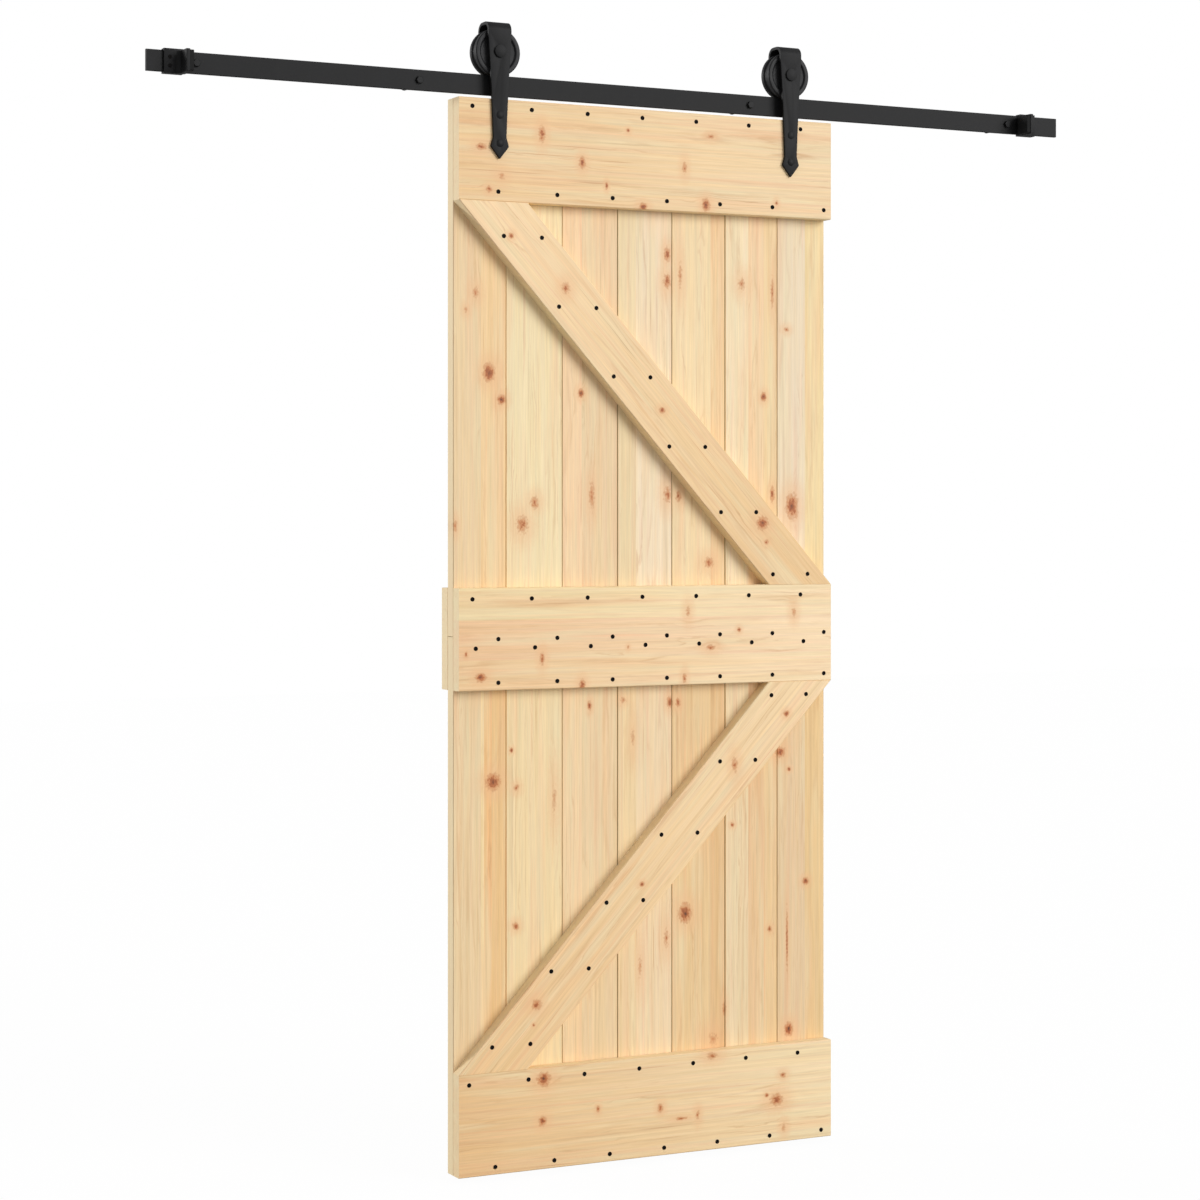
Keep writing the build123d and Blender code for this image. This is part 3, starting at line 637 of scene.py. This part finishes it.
# Each rail strip's tones at its left and right ends; the drift between them is painted light.
rail_strips = {
    "top_rail": [(below_leaf, "#EAC798", "#F2D7AF")],
    "bottom_rail": [(below_leaf, "#E2BC8C", "#F6DFB8")],
    "middle_rail": [(below_leaf, "#E9C79B", "#FAE1BB"), (1004, "#E9C197", "#FAE0BC"),
                    (1083, "#ECD5A6", "#F9E0BA")],
    "back_board": [(below_leaf, "#EED3A9", "#EED3A9")],
}
rail_knots = {
    "top_rail": [
        (47, 2005, 10, 6, 0.15), (178, 2037, 7, 15, 0.2), (266, 1986, 6, 10, 0.1), (368, 2056, 4, 4, 0.2),
        (320, 1943, 3, 6, 0.1), (64, 1923, 6, 6, 0.2), (91, 1949, 10, 10, 0.5), (402, 1905, 7, 6, 0),
        (556, 2055, 9, 6, 0.35), (496, 1988, 6, 13, 0.35), (545, 1916, 7, 10, 0), (710, 1928, 4, 6, 0.3)],
    "middle_rail": [
        (46, 971, 9, 7, 0), (178, 1005, 6, 13, 0.25), (266, 951, 6, 9, 0.1), (15, 1017, 3, 4, 0.1),
        (368, 1023, 3, 4, 0.3), (504, 1092, 7, 15, 0.5), (751, 1088, 7, 14, 0.45), (556, 1019, 12, 7, 0.35),
        (496, 958, 5, 11, 0.3), (622, 1054, 4, 4, 0.1)],
    "bottom_rail": [
        (182, 177, 11, 11, 0), (179, 95, 8, 8, 0.1), (301, 107, 4, 6, 0.2), (560, 190, 15, 9, 0.4),
        (441, 96, 6, 8, 0.2), (489, 70, 18, 4, 0.35), (526, 73, 6, 12, 0.45), (710, 87, 14, 12, 0.2),
        (725, 137, 7, 6, 0.25), (687, 98, 4, 4, 0.1), (727, 29, 7, 12, 0.5)],
    "back_board": [
        (210, 1015, 10, 9, 0), (433, 1088, 6, 6, 0.2), (655, 985, 12, 9, 0.1)],
}


def finish_board(name, strips, knots, lean, board):
    """Finishes one board. Lean turns its grain from upright. A strip has the height on the leaf
    where it starts and the tones of its two ends."""
    low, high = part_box(name)
    middle = ((low + high) / 2 - leaf_corner) / mm
    half_length = (high - low).length / 2 / mm
    board_pine = bpy.data.materials.new(f"planed pine board, {name.replace('_', ' ')}")
    board_pine.use_nodes = True
    tree = board_pine.node_tree
    tree.nodes.clear()
    place = leaf_place(tree)
    grain = add(tree, "ShaderNodeMapping",
                {"Vector": place, "Location": (middle.x, middle.y, middle.z), "Rotation": (0, lean, 0)},
                vector_type="TEXTURE")
    along = add(tree, "ShaderNodeSeparateXYZ", {0: grain}).outputs[2]
    end_share = add(tree, "ShaderNodeMapRange", {0: along, 1: -half_length, 2: half_length})
    height = add(tree, "ShaderNodeSeparateXYZ", {0: place}).outputs[2]
    tone = linear("#FFFFFF")
    # Each strip's tone drifts from its first end to its second; on the rails this is painted light.
    for start, near, far in strips:
        strip = add(tree, "ShaderNodeMix", {0: end_share, 6: linear(near), 7: linear(far)}, data_type="RGBA")
        reached = add(tree, "ShaderNodeMapRange", {0: height, 1: start - 1, 2: start + 1})
        tone = add(tree, "ShaderNodeMix",
                   {0: reached, 6: tone, 7: strip.outputs[2]}, data_type="RGBA").outputs[2]
    colour, roughness, bump = planed_pine(tree, place, grain, board, tone, knots,
                                          board_ring_width, board_ring_strength)
    close_surface(tree, colour, roughness, bump)
    finish_nodes([name], board_pine)


level = math.radians(90)
first_rail = 11.3
for number, (name, knots) in enumerate(rail_knots.items()):
    finish_board(name, rail_strips[name], knots, level, first_rail + number)

# Braces: pine boards laid aslant between the cross rails, with their ends sawn level to meet them.
# Like the rails they are planed, eased along their edges and screwed to the planks.
brace_cut = 148
first_brace = 23.9
brace_knots = {
    "upper_brace": [(111, 1834, 5, 5, 0.1), (230, 1736, 10, 12, 0.3), (445, 1498, 6, 5, 0.1),
                    (677, 1271, 11, 11, 0.05), (686, 1232, 5, 5, 0.2)],
    "lower_brace": [(733, 879, 5, 5, 0), (612, 779, 8, 17, 0.35), (166, 324, 10, 10, 0.2),
                    (160, 285, 3, 3, 0.1), (399, 548, 5, 4, 0.1)],
}
for number, (name, knots) in enumerate(brace_knots.items()):
    low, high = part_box(name)
    slope = math.atan2((high.x - low.x) / mm - brace_cut, (high.z - low.z) / mm)
    lean = -slope if name == "upper_brace" else slope
    finish_board(name, [(below_leaf, "#E9C696", "#F5D9B0")], knots, lean, first_brace + number)

# Wood screws: black screws with a crossed recess, driven through rails and braces in zigzag rows,
# two to a plank. Their flat heads stand just proud of the boards.
wood_screw_size = {"Head Radius": 4.4 * mm, "Standing Proud": 0.9 * mm, "Sunk": 0.5 * mm, "Rim": 0.5 * mm,
                   "Slot Length": 4.6 * mm, "Slot Width": 1.1 * mm, "Socket Depth": 0.75 * mm}
# Rows across the rails and pairs along the braces, by their height on the leaf in millimetres.
upper_columns = (28.6, 155.9, 278.1, 400.3, 522.6, 644.7, 766.9)
lower_columns = (83.8, 211.4, 333.6, 455.8, 577.7, 700.2, 822.8)
rail_rows = {
    2083: upper_columns,
    1919: lower_columns,
    1123.7: upper_columns,
    1045.3: lower_columns,
    1027.4: [column + 7 for column in upper_columns],
    960.0: lower_columns,
    179.4: [column - 7 for column in upper_columns],
    15.1: [column - 6.5 for column in lower_columns],
}
brace_pairs = {1833: 95.6, 1698.8: 215.2, 1563.7: 336.1, 1425.5: 461.2, 1293.4: 579.9, 1166: 701.6,
               918: 698, 787: 577.8, 645: 443.3, 516: 319.8, 388: 198.2, 249: 70.6}
pair_span = 82.2
screw_places = [(column, height) for height, columns in rail_rows.items() for column in columns]
screw_places += [(left + step, height) for height, left in brace_pairs.items() for step in (0, pair_span)]
screw_points = [leaf_corner + Vector((column * mm, 0, height * mm)) for column, height in screw_places]
screw_heads("wood_screws", screw_points, wood_screw_size, True, phosphate, "door_leaf")

# Hangers: flat steel straps bent hot over the wheels, with a spear point sheared at the foot, and
# powder coated. Bending leaves the edges a little round.
hanger_edge = 0.8 * mm
for side in ("left", "right"):
    eased_copy(f"hanger_{side}", "door_leaf", hanger_edge, powder_coat)

# Hanger bolts, axles and their nuts: turned and pressed steel, coated like the straps, so that
# only their shading shows.
finish_nodes([name for name in nodes if name.startswith(("axle", "hanger_bolts"))], powder_coat)

# Wheels: rollers turned from steel bar, with a groove that runs on the track, and coated satin
# black, which is a little glossier than the straps' matt coat.
satin_coat = black_coat("satin black coat on turned steel", "#1C1C1E",
                        roughness=0.46, relief=0.15, shine=0.21)
wheel_edge = 0.9 * mm
for side in ("left", "right"):
    eased_copy(f"wheel_{side}", f"{side}_wheel", wheel_edge, satin_coat)
